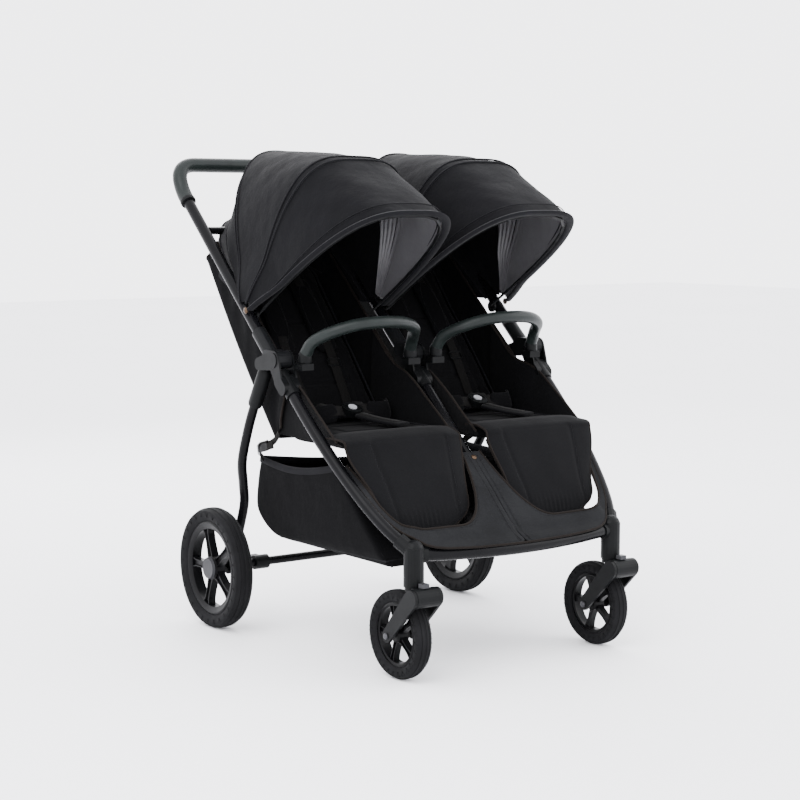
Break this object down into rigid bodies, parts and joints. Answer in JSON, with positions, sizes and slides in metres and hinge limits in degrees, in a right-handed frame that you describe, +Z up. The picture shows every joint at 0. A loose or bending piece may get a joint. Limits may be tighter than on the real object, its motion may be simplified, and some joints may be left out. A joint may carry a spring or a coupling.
{
  "type": "twin stroller",
  "caption": "Side-by-side folding stroller for young children, with hoods, reclining seats, swinging bumper bars, swivel front wheels and an under-seat basket.",
  "frame": {"origin": "middle of the footprint, on the ground", "axes": "+Z up; the riders face -Y; +X is the riders' left"},
  "size_m": [0.752, 0.933, 1.1155],
  "materials": {
    "painted_tube": "satin black paint on tube",
    "plastic": "fine-grained black moulding",
    "gloss_plastic": "glossy black moulding",
    "leatherette": "dark artificial leather",
    "tyre": "matt foam-filled rubber",
    "grey_plastic": "grey moulding",
    "steel": "plain",
    "grey_cloth": "grey melange weave",
    "black_cloth": "black plain weave"
  },
  "bodies": {
    "chassis": {"front_tube_left": "painted_tube", "front_tube_right": "painted_tube", "front_tube_center": "painted_tube", "front_crossbar": "painted_tube", "corner_connector_left": "plastic", "corner_connector_right": "plastic", "fold_housing_left": "plastic", "fold_housing_right": "plastic", "fold_housing_center": "plastic", "footrest_apron": "grey_cloth", "footwell_panel": "gloss_plastic", "seat_pad_left": "black_cloth", "seat_pad_right": "black_cloth", "buckle_left": "plastic", "buckle_right": "plastic", "basket": "black_cloth"},
    "handle_frame": {"upper_housing_left": "plastic", "upper_housing_right": "plastic", "upper_housing_center": "plastic", "handle_tube": "painted_tube", "handle_grip": "leatherette", "upper_tube_center": "painted_tube", "back_crossbar": "painted_tube"},
    "rear_frame": {"rear_leg_left": "painted_tube", "rear_leg_right": "painted_tube", "rear_axle_tube": "painted_tube"},
    "brake": {"brake_pedal": "plastic"},
    "caster_left": {"swivel_head_left": "plastic", "swivel_lock_left": "grey_plastic"},
    "fork_left": {"front_fork_left": "plastic"},
    "front_wheel_left": {"front_rim_left": "gloss_plastic", "front_tyre_left": "tyre"},
    "rear_wheel_left": {"rear_rim_left": "gloss_plastic", "rear_tyre_left": "tyre", "hub_cap_left": "grey_plastic"},
    "back_bracket_left": {"back_hinge_bar_left": "steel"},
    "back_left": {"backrest_left": "black_cloth"},
    "legrest_left": {"legrest_left": "black_cloth"},
    "bumper_left": {"bumper_bar_left": "leatherette"},
    "hood_carrier_left": {"hood_hub_left": "plastic", "hood_cloth_left": "black_cloth"},
    "hood_front_left": {"hood_bow_left": "plastic"},
    "button_left": {"buckle_button_left": "grey_plastic"},
    "caster_right": {"swivel_head_right": "plastic", "swivel_lock_right": "grey_plastic"},
    "fork_right": {"front_fork_right": "plastic"},
    "front_wheel_right": {"front_rim_right": "gloss_plastic", "front_tyre_right": "tyre"},
    "rear_wheel_right": {"rear_rim_right": "gloss_plastic", "rear_tyre_right": "tyre", "hub_cap_right": "grey_plastic"},
    "back_bracket_right": {"back_hinge_bar_right": "steel"},
    "back_right": {"backrest_right": "black_cloth"},
    "legrest_right": {"legrest_right": "black_cloth"},
    "bumper_right": {"bumper_bar_right": "leatherette"},
    "hood_carrier_right": {"hood_hub_right": "plastic", "hood_cloth_right": "black_cloth"},
    "hood_front_right": {"hood_bow_right": "plastic"},
    "button_right": {"buckle_button_right": "grey_plastic"}
  },
  "joints": [
    {"name": "frame_fold", "type": "hinge", "parent": "chassis", "child": "handle_frame", "pos_m": [0, -0.02597, 0.65], "axis": [1, 0, 0], "range_deg": [0, 170]},
    {"name": "rear_leg_fold", "type": "hinge", "parent": "chassis", "child": "rear_frame", "pos_m": [0, 0.03853, 0.63801], "axis": [-1, 0, 0], "range_deg": [0, 60.5]},
    {"name": "brake_press", "type": "hinge", "parent": "rear_frame", "child": "brake", "pos_m": [0, 0.27503, 0.1414], "axis": [-1, 0, 0], "range_deg": [0, 20], "stiffness_Nm_per_rad": 0.8, "springref_deg": -17.19},
    {"name": "caster_swivel_left", "type": "hinge", "parent": "chassis", "child": "caster_left", "pos_m": [0.269, -0.40997, 0.2], "axis": [0, 0, 1], "continuous": true},
    {"name": "fork_suspension_left", "type": "hinge", "parent": "caster_left", "child": "fork_left", "pos_m": [0.269, -0.44597, 0.186], "axis": [1, 0, 0], "range_deg": [0, 5], "stiffness_Nm_per_rad": 60, "springref_deg": -6.88},
    {"name": "front_wheel_spin_left", "type": "hinge", "parent": "fork_left", "child": "front_wheel_left", "pos_m": [0.269, -0.36097, 0.0944], "axis": [1, 0, 0], "continuous": true},
    {"name": "rear_wheel_spin_left", "type": "hinge", "parent": "rear_frame", "child": "rear_wheel_left", "pos_m": [0.353, 0.27503, 0.1414], "axis": [1, 0, 0], "continuous": true},
    {"name": "back_tip_left", "type": "hinge", "parent": "chassis", "child": "back_bracket_left", "pos_m": [0.176, 0.04903, 0.486], "axis": [1, 0, 0], "range_deg": [0, 48.5]},
    {"name": "recline_left", "type": "hinge", "parent": "back_bracket_left", "child": "back_left", "pos_m": [0.176, 0.04903, 0.486], "axis": [1, 0, 0], "range_deg": [-38, 0]},
    {"name": "legrest_raise_left", "type": "hinge", "parent": "chassis", "child": "legrest_left", "pos_m": [0.176, -0.24697, 0.486], "axis": [1, 0, 0], "range_deg": [-60, 0]},
    {"name": "bumper_open_left", "type": "hinge", "parent": "chassis", "child": "bumper_left", "pos_m": [0.316, -0.06697, 0.65], "axis": [0, 0, -1], "range_deg": [-60, 0]},
    {"name": "hood_carry_left", "type": "hinge", "parent": "handle_frame", "child": "hood_carrier_left", "pos_m": [0.1743, 0.11103, 0.741], "axis": [-1, 0, 0], "range_deg": [0, 98.5]},
    {"name": "hood_close_left", "type": "hinge", "parent": "hood_carrier_left", "child": "hood_front_left", "pos_m": [0.1743, 0.11103, 0.741], "axis": [-1, 0, 0], "range_deg": [0, 75], "deforming": ["hood_cloth_left"]},
    {"name": "buckle_press_left", "type": "slide", "parent": "chassis", "child": "button_left", "axis": [0, 0.4067, -0.9135], "range_m": [0, 0.0025], "stiffness_N_per_m": 300, "springref_m": -0.002},
    {"name": "caster_swivel_right", "type": "hinge", "parent": "chassis", "child": "caster_right", "pos_m": [-0.269, -0.40997, 0.2], "axis": [0, 0, 1], "continuous": true},
    {"name": "fork_suspension_right", "type": "hinge", "parent": "caster_right", "child": "fork_right", "pos_m": [-0.269, -0.44597, 0.186], "axis": [1, 0, 0], "range_deg": [0, 5], "stiffness_Nm_per_rad": 60, "springref_deg": -6.88},
    {"name": "front_wheel_spin_right", "type": "hinge", "parent": "fork_right", "child": "front_wheel_right", "pos_m": [-0.269, -0.36097, 0.0944], "axis": [1, 0, 0], "continuous": true},
    {"name": "rear_wheel_spin_right", "type": "hinge", "parent": "rear_frame", "child": "rear_wheel_right", "pos_m": [-0.353, 0.27503, 0.1414], "axis": [1, 0, 0], "continuous": true},
    {"name": "back_tip_right", "type": "hinge", "parent": "chassis", "child": "back_bracket_right", "pos_m": [-0.176, 0.04903, 0.486], "axis": [1, 0, 0], "range_deg": [0, 48.5]},
    {"name": "recline_right", "type": "hinge", "parent": "back_bracket_right", "child": "back_right", "pos_m": [-0.176, 0.04903, 0.486], "axis": [1, 0, 0], "range_deg": [-38, 0]},
    {"name": "legrest_raise_right", "type": "hinge", "parent": "chassis", "child": "legrest_right", "pos_m": [-0.176, -0.24697, 0.486], "axis": [1, 0, 0], "range_deg": [-60, 0]},
    {"name": "bumper_open_right", "type": "hinge", "parent": "chassis", "child": "bumper_right", "pos_m": [-0.316, -0.06697, 0.65], "axis": [0, 0, 1], "range_deg": [-60, 0]},
    {"name": "hood_carry_right", "type": "hinge", "parent": "handle_frame", "child": "hood_carrier_right", "pos_m": [-0.1743, 0.11103, 0.741], "axis": [-1, 0, 0], "range_deg": [0, 98.5]},
    {"name": "hood_close_right", "type": "hinge", "parent": "hood_carrier_right", "child": "hood_front_right", "pos_m": [-0.1743, 0.11103, 0.741], "axis": [-1, 0, 0], "range_deg": [0, 75], "deforming": ["hood_cloth_right"]},
    {"name": "buckle_press_right", "type": "slide", "parent": "chassis", "child": "button_right", "axis": [0, 0.4067, -0.9135], "range_m": [0, 0.0025], "stiffness_N_per_m": 300, "springref_m": -0.002}
  ],
  "couplings": [
    {"joint": "rear_leg_fold", "follows": "frame_fold", "ratio": 0.35294},
    {"joint": "back_tip_left", "follows": "frame_fold", "ratio": 0.28235},
    {"joint": "hood_carry_left", "follows": "frame_fold", "ratio": 0.57647},
    {"joint": "back_tip_right", "follows": "frame_fold", "ratio": 0.28235},
    {"joint": "hood_carry_right", "follows": "frame_fold", "ratio": 0.57647}
  ]
}
